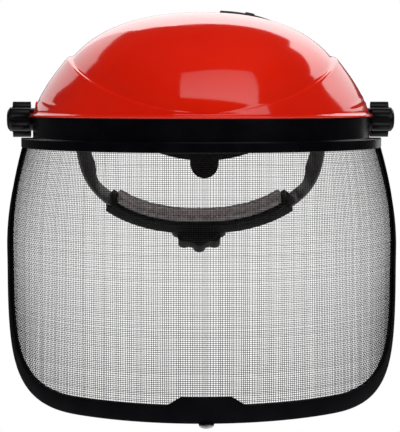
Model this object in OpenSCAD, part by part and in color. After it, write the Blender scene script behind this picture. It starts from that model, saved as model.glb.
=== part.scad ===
// Brow-guard face shield with a wrapped mesh visor and a ratchet headband.
// Millimetres. X is across the head, -Y is the way the wearer looks, +Z is up.
// The origin is the middle of the head, on the axis of the two side pivots.

/* [Brow guard] */
// Half width of the crown of the guard at its base
crown_half_w = 102.5; // [98:0.5:106]
// Half width of the guard at its bottom lip
lip_half_w = 118; // [116:0.5:120]
// Distance from the pivot axis to the front of the lip
guard_depth = 147.5; // [140:0.5:150]
// Height of the crown above the lip
crown_h = 70.5; // [66:0.5:75]
// How far the top of the rear edge leans forward of the pivot axis
rear_lean = 35; // [30:1:45]
// Wall thickness of the guard
guard_t = 2.4; // [1.8:0.1:3]
// Height of the crease between crown and skirt at the front
crease_front = 5.5; // [4.5:0.5:10]
// Height of the crease between crown and skirt at the sides
crease_side = 43.3; // [34:0.1:46]

/* [Visor] */
// Half width of the screen where the carrier holds it
screen_top_half_w = 123.2; // [122:0.1:124]
// Half width of the screen where it is widest
screen_half_w = 136.4; // [130:0.1:140]
// Height of the bottom edge of the screen
screen_low_z = -185; // [-200:1:-170]
// Thickness of the woven screen
screen_t = 1; // [0.8:0.1:1.2]
// Height of the trim along the chin
chin_trim_w = 10; // [8:0.5:12]
// Height of the raised tab in the middle of the chin trim
chin_tab_w = 15.5; // [12:0.5:20]
// Width of the trim along the sides
side_trim_w = 8.5; // [6:0.5:10]

/* [Headband] */
// Half width of the forehead band outside
band_half_w = 85.3; // [84:0.1:85.3]
// Distance from the pivot axis to the front of the forehead band
band_depth = 98; // [92:1:104]
// Height of the forehead band
band_h = 24; // [20:1:28]
// Droop of the nape strap below level
nape_droop = 50; // [35:1:55]
// Half width inside the nape pad
nape_half_w = 86; // [84:0.5:88]
// Distance from the pivot axis to the inside of the nape pad
nape_depth = 94; // [88:1:100]
// Height of the crown strap over the pivot axis
strap_top = 74.3; // [70:0.1:74.5]

/* [Pivots and ratchet] */
// Diameter of the pivot bolts
bolt_d = 6; // [5:0.5:6]
// Distance from the middle to the outer end of a tilt knob
knob_end_x = 136.5; // [132:0.5:140]
// Diameter across the lobes of a tilt knob
tilt_knob_d = 25; // [22:0.5:26]
// Diameter across the lobes of the ratchet knob
ratchet_knob_d = 41; // [34:1:42]

/* [Hidden] */

red = [0.79, 0.09, 0.02];
black = [0.05, 0.05, 0.06];
grey = [0.36, 0.35, 0.34];
steel = [0.72, 0.72, 0.74];
brass = [0.78, 0.62, 0.3];

eps = 0.01;
lip_z = 2;                    // underside of the guard's lip
crown_power = 2.3;            // squareness of the crown's arch
crease_step = 3.5;            // how far the skirt stands out at the crease
skirt_bulge = 2.4;            // how far the skirt swells above the ears
skirt_rows = 5;               // facets up the skirt
lip_out = 2.2;                // how far the lip stands out of the skirt
columns = 56;                 // facets round the guard and the screen
crown_rows = 14;              // facets up the crown
bolt_r = bolt_d / 2;
run = 0.06;                   // running clearance on the bolts
ear_r = 13;
ear_x = [112.3, 116.3];       // inner and outer face of an ear
bush_r = 5.5;

// ---------- shared geometry ----------

function unit(v) = v / norm(v);
function smooth(x) = let (u = max(0, min(1, x))) u * u * (3 - 2 * u);
function arc_at(a, b, phi) = [a * sin(phi), -b * cos(phi)];

// Superellipse of half width a and depth b, from the front (phi 0) round to the back (phi 180).
function oval_at(a, b, phi, e = 2.3) =
    let (s = sin(phi), c = cos(phi))
    [a * sign(s) * pow(abs(s), 2 / e), -b * sign(c) * pow(abs(c), 2 / e)];

// A strip of constant height between two offsets of an ellipse, from -phi to +phi.
module ellipse_strip(a, b, t, z0, z1, phi, steps = columns) {
    outer = [for (i = [0:steps]) arc_at(a, b, -phi + 2 * phi * i / steps)];
    inner = [for (i = [steps:-1:0]) arc_at(a - t, b - t, -phi + 2 * phi * i / steps)];
    translate([0, 0, z0]) linear_extrude(z1 - z0) polygon(concat(outer, inner));
}

// The same round a superellipse, between the angles from and to.
module oval_strip(a, b, t, z0, z1, from, to, steps = 32) {
    function at(i) = from + (to - from) * i / steps;
    outer = [for (i = [0:steps]) oval_at(a + t, b + t, at(i))];
    inner = [for (i = [steps:-1:0]) oval_at(a, b, at(i))];
    translate([0, 0, z0]) linear_extrude(z1 - z0) polygon(concat(outer, inner));
}

// A disc or ring lying across the pivot axis, between x0 and x1.
module x_disc(r, x0, x1, fn = 48) {
    translate([x0, 0, 0]) rotate([0, 90, 0]) cylinder(r = r, h = x1 - x0, $fn = fn);
}

// The same across the local Y axis, for the ratchet.
module y_disc(r, y0, y1, fn = 48) {
    translate([0, y1, 0]) rotate([90, 0, 0]) cylinder(r = r, h = y1 - y0, $fn = fn);
}

// side is -1 for left and 1 for right.
module on_side(side) {
    if (side > 0) children();
    else mirror([1, 0, 0]) children();
}

module drooped() {
    rotate([-nape_droop, 0, 0]) children();
}

// ---------- brow guard ----------

// A point of the crown: rise runs from 0 at the base to 1 at the top, in is the depth below the skin.
function crown_at(phi, rise, in) =
    let (round = pow(1 - pow(min(rise, 1), crown_power), 1 / crown_power), c = cos(phi))
    [(crown_half_w - in) * round * sin(phi),
     -(guard_depth - in) * round * c - rear_lean * rise * (1 - round * c),
     lip_z + (crown_h - in) * rise];
function crease_rise(phi) =
    (crease_front + (crease_side - crease_front) * pow(sin(phi), 2) - lip_z) / crown_h;
function out_at(phi, d) = [d * sin(phi), -d * cos(phi), 0];
function lip_at(phi, d, z) = concat(arc_at(lip_half_w + d, guard_depth + d, phi), [z]);
function crease_at(phi, in) =
    crown_at(phi, crease_rise(phi), in) + out_at(phi, crease_step * pow(abs(sin(phi)), 1.5));
// The skirt swells a little over the ears.
function bulge_at(phi, u) = out_at(phi, skirt_bulge * pow(abs(sin(phi)), 8) * sin(180 * u));

// One column of the skin from the lip up to just below the top of the crown.
function guard_column(phi, in) = concat(
    in == 0
        ? [lip_at(phi, lip_out, lip_z), lip_at(phi, lip_out, lip_z + 1.8), lip_at(phi, 0, lip_z + 2.4)]
        : [lip_at(phi, -in, lip_z), lip_at(phi, -in, lip_z + 1.8), lip_at(phi, -in, lip_z + 2.4)],
    [for (k = [1:skirt_rows - 1]) let (u = k / skirt_rows)
        lip_at(phi, -in, lip_z + 2.4) * (1 - u) + crease_at(phi, in) * u + bulge_at(phi, u)],
    [crease_at(phi, in)],
    [for (k = [0:crown_rows - 1])
        let (low = crease_rise(phi), u = sin(90 * k / crown_rows))
        crown_at(phi, low + 0.006 + (1 - low - 0.006) * u, in)]);

module guard_shell() {
    rows = 3 + skirt_rows + crown_rows;
    cols = columns + 1;
    skin = [for (in = [0, guard_t]) for (j = [0:columns])
        for (p = guard_column(-90 + 180 * j / columns, in)) p];
    tops = [[0, -rear_lean, lip_z + crown_h], [0, -rear_lean, lip_z + crown_h - guard_t]];
    points = concat(skin, tops);
    n = cols * rows;
    function at(s, j, i) = s * n + j * rows + i;
    top = 2 * n;
    faces = concat(
        [for (j = [0:columns - 1]) for (i = [0:rows - 2]) each
            [[at(0, j, i), at(0, j, i + 1), at(0, j + 1, i + 1)],
             [at(0, j, i), at(0, j + 1, i + 1), at(0, j + 1, i)],
             [at(1, j, i), at(1, j + 1, i + 1), at(1, j, i + 1)],
             [at(1, j, i), at(1, j + 1, i), at(1, j + 1, i + 1)]]],
        [for (j = [0:columns - 1]) each
            [[at(0, j, rows - 1), top, at(0, j + 1, rows - 1)],
             [at(1, j, rows - 1), at(1, j + 1, rows - 1), top + 1],
             [at(0, j, 0), at(0, j + 1, 0), at(1, j + 1, 0)],
             [at(0, j, 0), at(1, j + 1, 0), at(1, j, 0)]]],
        [for (i = [0:rows - 2]) each
            [[at(0, 0, i), at(1, 0, i), at(1, 0, i + 1)],
             [at(0, 0, i), at(1, 0, i + 1), at(0, 0, i + 1)],
             [at(0, columns, i), at(0, columns, i + 1), at(1, columns, i + 1)],
             [at(0, columns, i), at(1, columns, i + 1), at(1, columns, i)]]],
        [[at(0, 0, rows - 1), at(1, 0, rows - 1), top + 1], [at(0, 0, rows - 1), top + 1, top],
         [at(0, columns, rows - 1), top, top + 1],
         [at(0, columns, rows - 1), top + 1, at(1, columns, rows - 1)]]);
    polyhedron(points, faces);
}

module brow_guard() {
    color(red) difference() {
        union() {
            guard_shell();
            for (side = [-1, 1]) on_side(side) x_disc(ear_r, ear_x[0], ear_x[1]);
        }
        // bores for the bushes, and flat seats for the arms and washers inside and the knobs outside
        for (side = [-1, 1]) on_side(side) {
            x_disc(bush_r + 0.02, ear_x[0] - 1, ear_x[1] + 1);
            x_disc(ear_r - 0.4, ear_x[0] - 8, ear_x[0]);
            x_disc(ear_r + 0.6, ear_x[1], ear_x[1] + 8);
        }
    }
}

module pivot_bushes() {
    color(black) for (side = [-1, 1]) on_side(side) difference() {
        x_disc(bush_r, ear_x[0], ear_x[1]);
        x_disc(bolt_r + run, ear_x[0] - 1, ear_x[1] + 1);
    }
}

// ---------- visor ----------

screen_depth = 147;
carrier_phi = 84;             // the carrier ends short of the knobs
tier_z = -12.5;               // ledge between the carrier's two tiers
carrier_low_z = -19;
screen_top_z = -14.3;
corner_top_z = -105;          // where the side edge starts to turn into the corner
corner_phi = 36;              // where the corner runs into the chin edge
corner_power = 0.84;          // squareness of the corner

function screen_half_at(z) =
    screen_top_half_w + (screen_half_w - screen_top_half_w)
        * sin(90 * min(1, max(0, (carrier_low_z - z) / 70)));
function side_phi(z) =
    84 - 9 * sin(90 * min(1, max(0, (carrier_low_z - z) / (carrier_low_z - corner_top_z))));
function edge_phi(z) = z >= corner_top_z ? side_phi(z)
    : corner_phi + (side_phi(z) - corner_phi)
        * sqrt(max(0, 1 - pow((corner_top_z - z) / (corner_top_z - screen_low_z), 2)));
function screen_at(phi, z, out = 0) =
    concat(arc_at(screen_half_at(z) + out, screen_depth + out, phi), [z]);

// The screen's edge from the top of one side, down, round the corner and to the middle of the chin.
side_steps = 14;
corner_steps = 14;
chin_steps = 16;
function edge_angles() = concat(
    [for (i = [0:side_steps])
        let (z = carrier_low_z - 0.3 + (corner_top_z - carrier_low_z + 0.3) * i / side_steps)
        [side_phi(z), z]],
    [for (i = [1:corner_steps])
        let (q = 90 * i / corner_steps,
             z = corner_top_z + (screen_low_z - corner_top_z) * pow(sin(q), corner_power))
        [corner_phi + (side_phi(z) - corner_phi) * pow(max(0, cos(q)), corner_power), z]]);
corner_split = side_steps + 7;

module visor_carrier() {
    color(black) {
        ellipse_strip(lip_half_w, guard_depth + 0.5, 2.4, tier_z, lip_z - 0.2, carrier_phi);
        ellipse_strip(lip_half_w - 2.9, guard_depth - 2.9, 1.7, tier_z, lip_z + 2.2, carrier_phi - 4);
        ellipse_strip(126.2, 150, 10.6, tier_z - 1.4, tier_z + eps, carrier_phi);
        ellipse_strip(126.2, 150, 2.2, carrier_low_z, tier_z - 1.4 + eps, carrier_phi);
    }
}

module mesh_screen() {
    rows = 20;
    cols = 44;
    heights = concat([screen_top_z], [for (i = [0:rows - 1])
        carrier_low_z + (screen_low_z - carrier_low_z) * sin(90 * i / (rows - 1))]);
    points = [for (out = [screen_t / 2, -screen_t / 2]) for (z = heights) for (j = [0:cols])
        screen_at(edge_phi(z) * (2 * j / cols - 1), z, out)];
    n = (rows + 1) * (cols + 1);
    function at(s, i, j) = s * n + i * (cols + 1) + j;
    faces = concat(
        [for (i = [0:rows - 1]) for (j = [0:cols - 1]) each
            [[at(0, i, j), at(0, i, j + 1), at(0, i + 1, j + 1)],
             [at(0, i, j), at(0, i + 1, j + 1), at(0, i + 1, j)],
             [at(1, i, j), at(1, i + 1, j + 1), at(1, i, j + 1)],
             [at(1, i, j), at(1, i + 1, j), at(1, i + 1, j + 1)]]],
        [for (j = [0:cols - 1]) each
            [[at(0, 0, j), at(1, 0, j + 1), at(0, 0, j + 1)],
             [at(0, 0, j), at(1, 0, j), at(1, 0, j + 1)],
             [at(0, rows, j), at(0, rows, j + 1), at(1, rows, j + 1)],
             [at(0, rows, j), at(1, rows, j + 1), at(1, rows, j)]]],
        [for (i = [0:rows - 1]) each
            [[at(0, i, 0), at(0, i + 1, 0), at(1, i + 1, 0)],
             [at(0, i, 0), at(1, i + 1, 0), at(1, i, 0)],
             [at(0, i, cols), at(1, i + 1, cols), at(0, i + 1, cols)],
             [at(0, i, cols), at(1, i, cols), at(1, i + 1, cols)]]]);
    color([0.75, 0.75, 0.75, 0.6]) polyhedron(points, faces);
}

module screen_clamp_strip() {
    color(black) ellipse_strip(screen_top_half_w - 0.7, screen_depth - 0.7, 2.2,
        carrier_low_z + 0.3, tier_z - 1.6, carrier_phi - 1);
}

module clamp_rivets() {
    rivets = 9;
    color(black) for (i = [0:rivets - 1]) {
        phi = -72 + 144 * i / (rivets - 1);
        p = arc_at(screen_top_half_w, screen_depth, phi);
        turn = atan2(sin(phi) * screen_depth, -cos(phi) * screen_top_half_w);  // the wall's normal, from +Y
        translate([p[0], p[1], -16.5]) rotate([0, 0, -turn]) rotate([-90, 0, 0]) {
            translate([0, 0, -3.7]) cylinder(r = 1.9, h = 0.8, $fn = 24);
            translate([0, 0, -3]) cylinder(r = 1.1, h = 4.6, $fn = 24);
        }
    }
}

// A channel round the screen's edge: path holds [phi, z] pairs and widths the channel's depths.
module edge_channel(path, widths) {
    last = len(path) - 1;
    wall = 1.7;
    slot = screen_t / 2 + 0.1;
    rim = 1.2;
    ring = [[1, wall], [0, wall], [0, slot], [-1, slot], [-1, -slot], [0, -slot], [0, -wall], [1, -wall]];
    function on(k) = screen_at(path[k][0], path[k][1]);
    function face(k) = unit([sin(path[k][0]) / screen_half_at(path[k][1]),
        -cos(path[k][0]) / screen_depth, 0]);
    // its upper end is cut level, to fit under the carrier
    function along(k) = path[k][1] > carrier_low_z - 1 ? [0, 0, -1]
        : unit(on(min(last, k + 1)) - on(max(0, k - 1)));
    function outward(k) = unit(cross(face(k), along(k)));
    points = [for (k = [0:last]) for (c = ring)
        on(k) + face(k) * c[1] + outward(k) * (c[0] > 0 ? rim : c[0] < 0 ? 0.2 : -widths[k])];
    n = len(ring);
    faces = concat(
        [[for (i = [0:n - 1]) i]],
        [[for (i = [n - 1:-1:0]) last * n + i]],
        [for (k = [0:last - 1]) for (i = [0:n - 1]) each
            [[k * n + i, (k + 1) * n + i, (k + 1) * n + (i + 1) % n],
             [k * n + i, (k + 1) * n + (i + 1) % n, k * n + (i + 1) % n]]]);
    color(black) polyhedron(points, faces);
}

module side_trim() {
    path = [for (k = [0:corner_split]) edge_angles()[k]];
    edge_channel(path, [for (p = path) side_trim_w]);
}

module side_trim_left() { on_side(-1) side_trim(); }
module side_trim_right() { side_trim(); }

module chin_trim() {
    turned = edge_angles();
    right = [for (k = [corner_split:len(turned) - 1]) turned[k] - (k == corner_split ? [0, 0.2] : [0, 0])];
    chin = [for (i = [1:2 * chin_steps - 1]) [corner_phi * (1 - i / chin_steps), screen_low_z]];
    left = [for (k = [len(right) - 1:-1:0]) [-right[k][0], right[k][1]]];
    path = concat(right, chin, left);
    tab_phi = 8.4;
    tab_ramp = 5;
    function tab(phi) = smooth((tab_phi - abs(phi)) / tab_ramp + 0.5);
    widths = [for (p = path) let (corner = max(0, min(1, (p[1] - screen_low_z) / 25)))
        chin_trim_w + (chin_tab_w - chin_trim_w) * tab(p[0]) + (side_trim_w - chin_trim_w) * corner];
    edge_channel(path, widths);
}

module chin_stud() {
    color(steel) translate([0, -screen_depth, screen_low_z - 1.2]) {
        rotate_extrude($fn = 40) polygon(concat([[0, 0.01], [4.8, 0.01], [4.8, -0.9]],
            [for (a = [15:15:75]) [4.8 * cos(a), -0.9 - 2.1 * sin(a)]], [[0, -3]]));
        cylinder(r = 0.5, h = 1.1, $fn = 20);
    }
}

// ---------- headband ----------

band_t = 1.8;
pad_t = 4;
stud_z = -29.4;
tongue_r = 9;

module forehead_band() {
    low = -band_h / 2;
    color(black) difference() {
        union() {
            oval_strip(band_half_w - band_t, band_depth - band_t, band_t, low, -low, -90, 90, 40);
            for (side = [-1, 1]) on_side(side) {
                translate([band_half_w - band_t, -eps, low]) cube([band_t, 3, band_h]);
                intersection() {
                    x_disc(band_h / 2, band_half_w - band_t, band_half_w);
                    translate([0, 0, low]) cube([100, 20, band_h]);
                }
            }
            // lobe and tongue under the middle of the brow
            intersection() {
                oval_strip(band_half_w - band_t, band_depth - band_t, band_t, -40, low + 1, -40, 40);
                union() {
                    translate([0, 0, 64.5]) y_disc(90, -120, 0, 160);
                    translate([0, 0, stud_z + 1.6]) y_disc(tongue_r, -120, 0);
                    translate([-tongue_r, -120, stud_z + 1.6]) cube([2 * tongue_r, 120, 20]);
                }
            }
        }
        for (side = [-1, 1]) on_side(side) x_disc(bolt_r + run, 80, 90);
        translate([0, 0, stud_z]) y_disc(2.02, -120, 0);
    }
}

module brow_pad() {
    inner_w = band_half_w - band_t - pad_t - 0.3;
    inner_d = band_depth - band_t - pad_t - 0.3;
    color(grey) {
        oval_strip(inner_w, inner_d, pad_t, 1 - band_h / 2, band_h / 2 - 1, -62, 62);
        intersection() {
            oval_strip(inner_w, inner_d, pad_t, -30, 2 - band_h / 2, -24, 24);
            translate([0, 0, 65.5]) y_disc(90, -120, 0, 160);
        }
    }
}

module brow_stud() {
    color(black) translate([0, 0, stud_z]) {
        y_disc(2, -band_depth - 0.5, -band_depth + band_t + 1.6);
        y_disc(5.2, -band_depth - 1.8, -band_depth - 0.2);
        y_disc(3.6, -band_depth + band_t + 0.3, -band_depth + band_t + 1.6);
    }
}

strap_y = [-6, 10];           // front and rear edge of the crown strap
strap_t = 1.6;
strap_x = 87.2;               // outer face of the crown straps where they meet the bolts
peg_x = 34;

// An arch over the head in the X-Z plane. It starts at one side and runs through sweep degrees:
// 90 is the middle, and past it the arch has the half width a_far.
function arch_x(q, a_near, a_far) = q <= 90 ? a_near * pow(cos(q), 0.7) : -a_far * pow(-cos(q), 0.7);
function arch_at(q, a_near, a_far, h) =
    let (x = arch_x(q, a_near, a_far), a = q <= 90 ? a_near : a_far)
    [x, h * pow(max(0, 1 - pow(abs(x) / a, 2.6)), 1 / 2.6)];
module strap_arch(a_near, a_far, h, sweep) {
    steps = 26;
    outer = [for (i = [0:steps]) arch_at(sweep * i / steps, a_near, a_far, h)];
    inner = [for (i = [steps:-1:0])
        arch_at(sweep * i / steps, a_near - strap_t, a_far - strap_t, h - strap_t)];
    translate([0, strap_y[1], 0]) rotate([90, 0, 0]) linear_extrude(strap_y[1] - strap_y[0])
        polygon(concat(outer, inner));
}

// At the peg, square to the lapped straps, with its origin where they touch.
module strap_normal() {
    translate([peg_x, 2, 71.75]) rotate([0, 12.3, 0]) children();
}

module strap_end() {
    x_disc(9, strap_x - strap_t, strap_x);
}

module crown_strap_left() {
    color(black) difference() {
        union() {
            on_side(-1) strap_arch(strap_x, 85.2, strap_top, 118);
            on_side(-1) strap_end();
        }
        on_side(-1) x_disc(bolt_r + run, 80, 90);
        strap_normal() translate([0, 0, -10]) cylinder(r = 2.02, h = 20, $fn = 32);
    }
}

module crown_strap_right() {
    color(black) difference() {
        union() {
            strap_arch(strap_x, strap_x, strap_top + 1.9, 86);
            strap_end();
        }
        x_disc(bolt_r + run, 80, 90);
        strap_normal() translate([0, 0, -10]) cylinder(r = 2.02, h = 20, $fn = 32);
    }
}

module crown_peg() {
    color(black) strap_normal() {
        translate([0, 0, -2]) cylinder(r = 2, h = 4.6, $fn = 32);
        translate([0, 0, 2.3]) cylinder(r = 3.4, h = 0.7, $fn = 32);
    }
}

// ---------- pivots ----------

arm_x = [89.6, 111];
plate_r = 12;

module pivot_arm() {
    color(black) difference() {
        union() {
            x_disc(plate_r, arm_x[0], arm_x[0] + 2.4);
            x_disc(7.5, arm_x[0], arm_x[1]);
            x_disc(plate_r, arm_x[1] - 2, arm_x[1]);
            for (a = [0:60:300]) rotate([a, 0, 0])
                translate([arm_x[0] + 1, -0.9, 6]) cube([arm_x[1] - arm_x[0] - 2, 1.8, 4.8]);
        }
        x_disc(bolt_r + run, 80, 120);
    }
}
module pivot_arm_left() { on_side(-1) pivot_arm(); }
module pivot_arm_right() { pivot_arm(); }

module pivot_bolt() {
    color(steel) {
        translate([81.2, 0, 0]) rotate([0, 90, 0]) rotate_extrude($fn = 40)
            polygon([[0, 0], [5, 0], [6.8, 1.2], [6.8, 2.1], [0, 2.1]]);
        x_disc(bolt_r, 83, 131);
    }
}
module pivot_bolt_left() { on_side(-1) pivot_bolt(); }
module pivot_bolt_right() { pivot_bolt(); }

module washer(r, x0, x1) {
    difference() {
        x_disc(r, x0, x1);
        x_disc(bolt_r + run, x0 - 1, x1 + 1);
    }
}

module friction_washers() {
    color(grey) for (side = [-1, 1]) on_side(side) washer(11, arm_x[1] + 0.05, ear_x[0] - 0.1);
}

module knob_washers() {
    color(steel) for (side = [-1, 1]) on_side(side) washer(8.5, ear_x[1] + 0.1, ear_x[1] + 1.1);
}

knob_x = [117.6, knob_end_x];
insert_x = [117.8, 127];
insert_r = 4.6;
lobes = 6;

module tilt_knob() {
    r = tilt_knob_d / 2;
    color(black) difference() {
        union() {
            x_disc(8, knob_x[0], knob_x[0] + 3);
            x_disc(r - 3.5, knob_x[0] + 2.5, knob_x[1] - 3.5);
            for (k = [0:lobes - 1]) rotate([60 * k, 0, 0])
                translate([0, 0, r - 3.6]) x_disc(3.6, knob_x[0] + 2.5, knob_x[1] - 4, 32);
            translate([knob_x[1] - 4, 0, 0]) rotate([0, 90, 0]) rotate_extrude($fn = 48)
                polygon([[0, 0], [r - 4, 0], [r - 4, 2], [r - 6, 3.6], [r - 7.5, 4], [0, 4]]);
        }
        x_disc(bolt_r + 0.3, knob_x[0] - 1, 132);
        x_disc(insert_r + 0.02, knob_x[0] - 1, insert_x[1] + 0.02);
    }
}
module tilt_knob_left() { on_side(-1) tilt_knob(); }
module tilt_knob_right() { tilt_knob(); }

module knob_insert() {
    color(brass) difference() {
        x_disc(insert_r, insert_x[0], insert_x[1]);
        x_disc(bolt_r + 0.05, insert_x[0] - 1, insert_x[1] + 1);
    }
}
module knob_insert_left() { on_side(-1) knob_insert(); }
module knob_insert_right() { knob_insert(); }

// ---------- nape strap and ratchet, built level and then drooped ----------

nape_w = 14;                  // width of the nape straps
sleeve_w = 17;
sleeve_phi = 138;             // the sleeve's ends, measured round from the front
pad_out = 4;                  // the layers, measured outward from the inside of the pad
inner_out = [4.2, 6];
channel_out = 10.6;
sleeve_out = 12.5;
left_out = 6.4;
right_out = 8.5;
rack_t = 1.7;
pinion_r = 4.2;
pinion_teeth = 8;
rack_teeth = 12;
rack_pitch = 2 * PI * pinion_r / pinion_teeth;
rear_y = nape_depth + sleeve_out;

// A slot with a row of teeth along its upper edge, cut through a strap's tail.
module rack_slot(tooth_count) {
    half = tooth_count / 2;
    tooth = [[-0.02, 5.6], [0.18, 5.6], [0.42, 3.5], [0.74, 3.5], [0.98, 5.6]];
    teeth = [for (k = [-half:half - 1]) for (c = tooth) [(k + c[0]) * rack_pitch, c[1]]];
    translate([0, nape_depth + 20, 0]) rotate([90, 0, 0]) linear_extrude(24)
        polygon(concat([[-half * rack_pitch - 1, -5.4]], [[-half * rack_pitch - 1, 5.6]], teeth,
            [[half * rack_pitch + 1, 5.6], [half * rack_pitch + 1, -5.4]]));
}

// One nape strap from its eye on the pivot bolt round to its toothed tail; out is its inner face.
// It starts close to the head and widens out to meet the sleeve's channel.
eye_x = 87.6;
function nape_at(phi, out, depth) =
    let (k = smooth((phi - 90) / (sleeve_phi - 97)))
    oval_at(eye_x * (1 - k) + (nape_half_w + out) * k + depth, nape_depth + out + depth, phi);
// Between the eye and the sleeve the strap's upper edge leans in toward the head.
strap_lean = 6.5;
function lean_at(phi) = strap_lean * smooth((phi - 93) / 9) * smooth((sleeve_phi - 8 - phi) / 14);
module nape_strap(out) {
    steps = 44;
    tail_phi = 196;
    function corner(phi, depth, w) = let (p = nape_at(phi, out, depth), lean = w > 0 ? lean_at(phi) : 0)
        [p[0] - lean * sin(phi), p[1] + lean * cos(phi), w];
    points = [for (i = [0:steps]) let (phi = 90 + (tail_phi - 90) * i / steps)
        for (c = [[rack_t, -nape_w / 2], [rack_t, nape_w / 2], [0, nape_w / 2], [0, -nape_w / 2]])
            corner(phi, c[0], c[1])];
    faces = concat([[3, 2, 1, 0]], [[for (k = [0:3]) 4 * steps + k]],
        [for (i = [0:steps - 1]) for (k = [0:3]) each
            [[4 * i + k, 4 * i + (k + 1) % 4, 4 * i + 4 + (k + 1) % 4],
             [4 * i + k, 4 * i + 4 + (k + 1) % 4, 4 * i + 4 + k]]]);
    color(black) difference() {
        union() {
            polyhedron(points, faces);
            x_disc(9.5, eye_x, eye_x + rack_t);
        }
        x_disc(bolt_r + run, 80, 92);
        children();
    }
}

module nape_strap_left() {
    drooped() on_side(-1) nape_strap(left_out) rack_slot(rack_teeth);
}

module nape_strap_right() {
    drooped() nape_strap(right_out) mirror([0, 0, 1]) rack_slot(rack_teeth);
}

module nape_pad() {
    color(grey) drooped() oval_strip(nape_half_w, nape_depth, pad_out,
        -sleeve_w / 2 + 0.5, sleeve_w / 2 - 0.5, sleeve_phi + 2, 358 - sleeve_phi);
}

module sleeve_inner() {
    color(black) drooped() difference() {
        oval_strip(nape_half_w + inner_out[0], nape_depth + inner_out[0], inner_out[1] - inner_out[0],
            -sleeve_w / 2, sleeve_w / 2, sleeve_phi, 360 - sleeve_phi);
        y_disc(2.06, 60, 120);
    }
}

module sleeve_outer() {
    color(black) drooped() difference() {
        union() {
            oval_strip(nape_half_w + inner_out[1] + 0.05, nape_depth + inner_out[1] + 0.05,
                sleeve_out - inner_out[1] - 0.05, -sleeve_w / 2, sleeve_w / 2,
                sleeve_phi, 360 - sleeve_phi);
            y_disc(17.2, rear_y - 1.8, rear_y, 96);
        }
        oval_strip(nape_half_w + inner_out[1] - 1, nape_depth + inner_out[1] - 1,
            channel_out - inner_out[1] + 1, -nape_w / 2 - 0.3, nape_w / 2 + 0.3,
            sleeve_phi - 3, 363 - sleeve_phi);
        y_disc(3.56, 60, 120);
    }
}

module detent_ring() {
    inner = 13;
    teeth = 24;
    color(black) drooped() translate([0, rear_y + 2.2, 0]) rotate([90, 0, 0]) linear_extrude(2.15)
        difference() {
            circle(r = 15.5, $fn = 96);
            polygon([for (k = [0:teeth - 1]) for (c = [[0, inner], [0.75, inner + 1.2]])
                let (a = 360 * (k + c[0]) / teeth) c[1] * [cos(a), sin(a)]]);
        }
}

module ratchet_knob() {
    r = ratchet_knob_d / 2;
    y0 = rear_y + 0.3;
    ridges = 8;
    color(black) drooped() difference() {
        union() {
            y_disc(r - 2.6, y0, y0 + 5.2, 96);
            for (k = [0:ridges - 1]) rotate([0, 360 * k / ridges, 0])
                translate([0, 0, r - 4.6]) y_disc(4.6, y0, y0 + 7.2, 32);
            translate([0, y0 + 4.6, 0]) rotate([-90, 0, 0]) rotate_extrude($fn = 96)
                polygon([[0, 0], [r - 2.8, 0], [r - 3.2, 1.8], [r - 5.5, 3.4], [8, 3.8], [0, 3.8]]);
        }
        y_disc(16, y0 - 1, y0 + 2.6, 96);
        y_disc(2.06, y0 - 1, y0 + 20);
        y_disc(4.2, y0 + 6.6, y0 + 20);
    }
}

module detent_spring() {
    color(steel) drooped() difference() {
        translate([0, rear_y + 2.7, 0]) rotate([90, 0, 0]) linear_extrude(1.4) union() {
            circle(r = 7, $fn = 48);
            for (k = [0:2]) rotate([0, 0, 120 * k]) {
                translate([-0.5, 6]) square([1, 5.4]);
                translate([0, 11.6]) circle(r = 0.9, $fn = 24);
            }
        }
        y_disc(2.06, rear_y - 2, rear_y + 20);
    }
}

module rack_pinion() {
    tip = pinion_r + 0.7;
    root = pinion_r - 1;
    tooth = [[-0.3, root], [-0.09, tip], [0.09, tip], [0.3, root]];
    color(steel) drooped() difference() {
        union() {
            translate([0, nape_depth + channel_out - 0.2, 0]) rotate([90, 0, 0]) linear_extrude(4.2)
                polygon([for (k = [0:pinion_teeth - 1]) for (c = tooth)
                    let (a = 90 + 360 * (k + c[0]) / pinion_teeth) c[1] * [cos(a), sin(a)]]);
            y_disc(3.5, nape_depth + channel_out - 0.3, rear_y + 0.55);
        }
        y_disc(2.06, 60, 120);
    }
}

module ratchet_screw() {
    y1 = rear_y + 7.4;
    color(steel) drooped() difference() {
        union() {
            y_disc(2, nape_depth + inner_out[0] + 0.2, y1);
            translate([0, y1 - 0.4, 0]) rotate([-90, 0, 0]) rotate_extrude($fn = 40)
                polygon([[0, 0], [3.9, 0], [3.9, 0.6], [2.6, 1.3], [0, 1.5]]);
        }
        for (a = [0, 90]) rotate([0, a, 0])
            translate([-2.2, y1 + 0.4, -0.4]) cube([4.4, 2, 0.8]);
    }
}

brow_guard();
pivot_bushes();
visor_carrier();
mesh_screen();
screen_clamp_strip();
clamp_rivets();
side_trim_left();
side_trim_right();
chin_trim();
chin_stud();
forehead_band();
brow_pad();
brow_stud();
crown_strap_left();
crown_strap_right();
crown_peg();
pivot_arm_left();
pivot_arm_right();
pivot_bolt_left();
pivot_bolt_right();
friction_washers();
tilt_knob_left();
tilt_knob_right();
knob_insert_left();
knob_insert_right();
knob_washers();
nape_strap_left();
nape_strap_right();
nape_pad();
sleeve_inner();
sleeve_outer();
detent_ring();
ratchet_knob();
detent_spring();
rack_pinion();
ratchet_screw();
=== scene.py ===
"""The looks of the mesh-visor brow guard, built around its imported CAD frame.

Outlines are worked out in millimetres, with the formulas that the CAD model uses, and are scaled to metres
on their way into a mesh. X is across the head, -Y is the way the wearer looks and +Z is up.
"""

import math
import random

import bmesh
import bpy
import numpy as np
from mathutils import Matrix, Vector
from mathutils.bvhtree import BVHTree


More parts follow.
